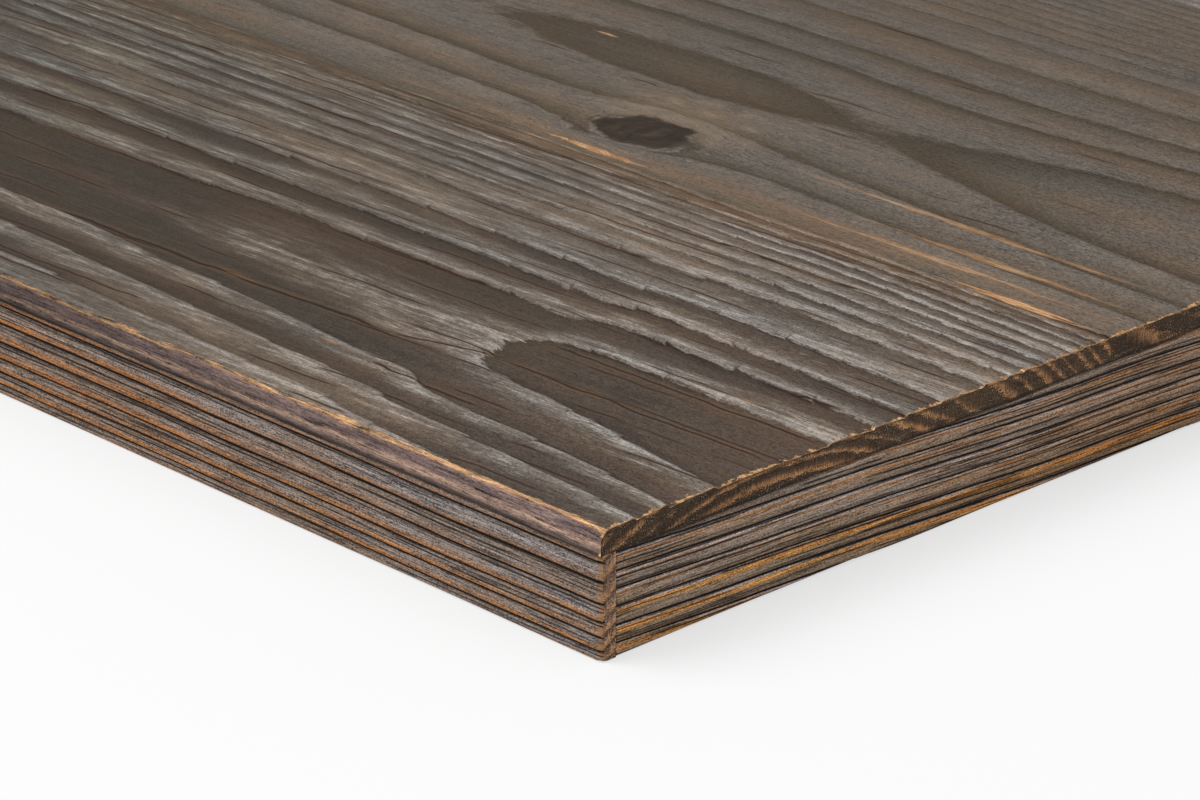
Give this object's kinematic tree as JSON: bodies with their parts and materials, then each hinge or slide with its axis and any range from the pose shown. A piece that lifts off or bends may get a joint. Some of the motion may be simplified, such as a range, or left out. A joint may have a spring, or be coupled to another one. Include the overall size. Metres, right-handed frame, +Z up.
{
  "type": "reclaimed wood panel",
  "caption": "Flat reclaimed softwood panel: brushed old deck boards glued edge to edge over a core board, with thin old-wood strips lipping its edges.",
  "frame": {"origin": "middle of the underside, on the floor plane", "axes": "+X along the deck's grain, +Y across the deck boards from the front edge to the back edge, +Z up through the deck"},
  "size_m": [0.6, 0.3, 0.0202],
  "materials": {
    "weathered_deck": "brushed, weathered grey-brown, dry",
    "weathered_strip": "brushed, weathered silver-grey with warm brown grooves",
    "plain_core": "plain sanded softwood"
  },
  "bodies": {
    "root": {"deck_board_1": "weathered_deck", "deck_board_2": "weathered_deck", "deck_board_3": "weathered_deck", "edge_strip_front": "weathered_strip", "edge_strip_back": "weathered_strip", "end_strip_left": "weathered_strip", "end_strip_right": "weathered_strip", "core_board": "plain_core"}
  },
  "joints": []
}
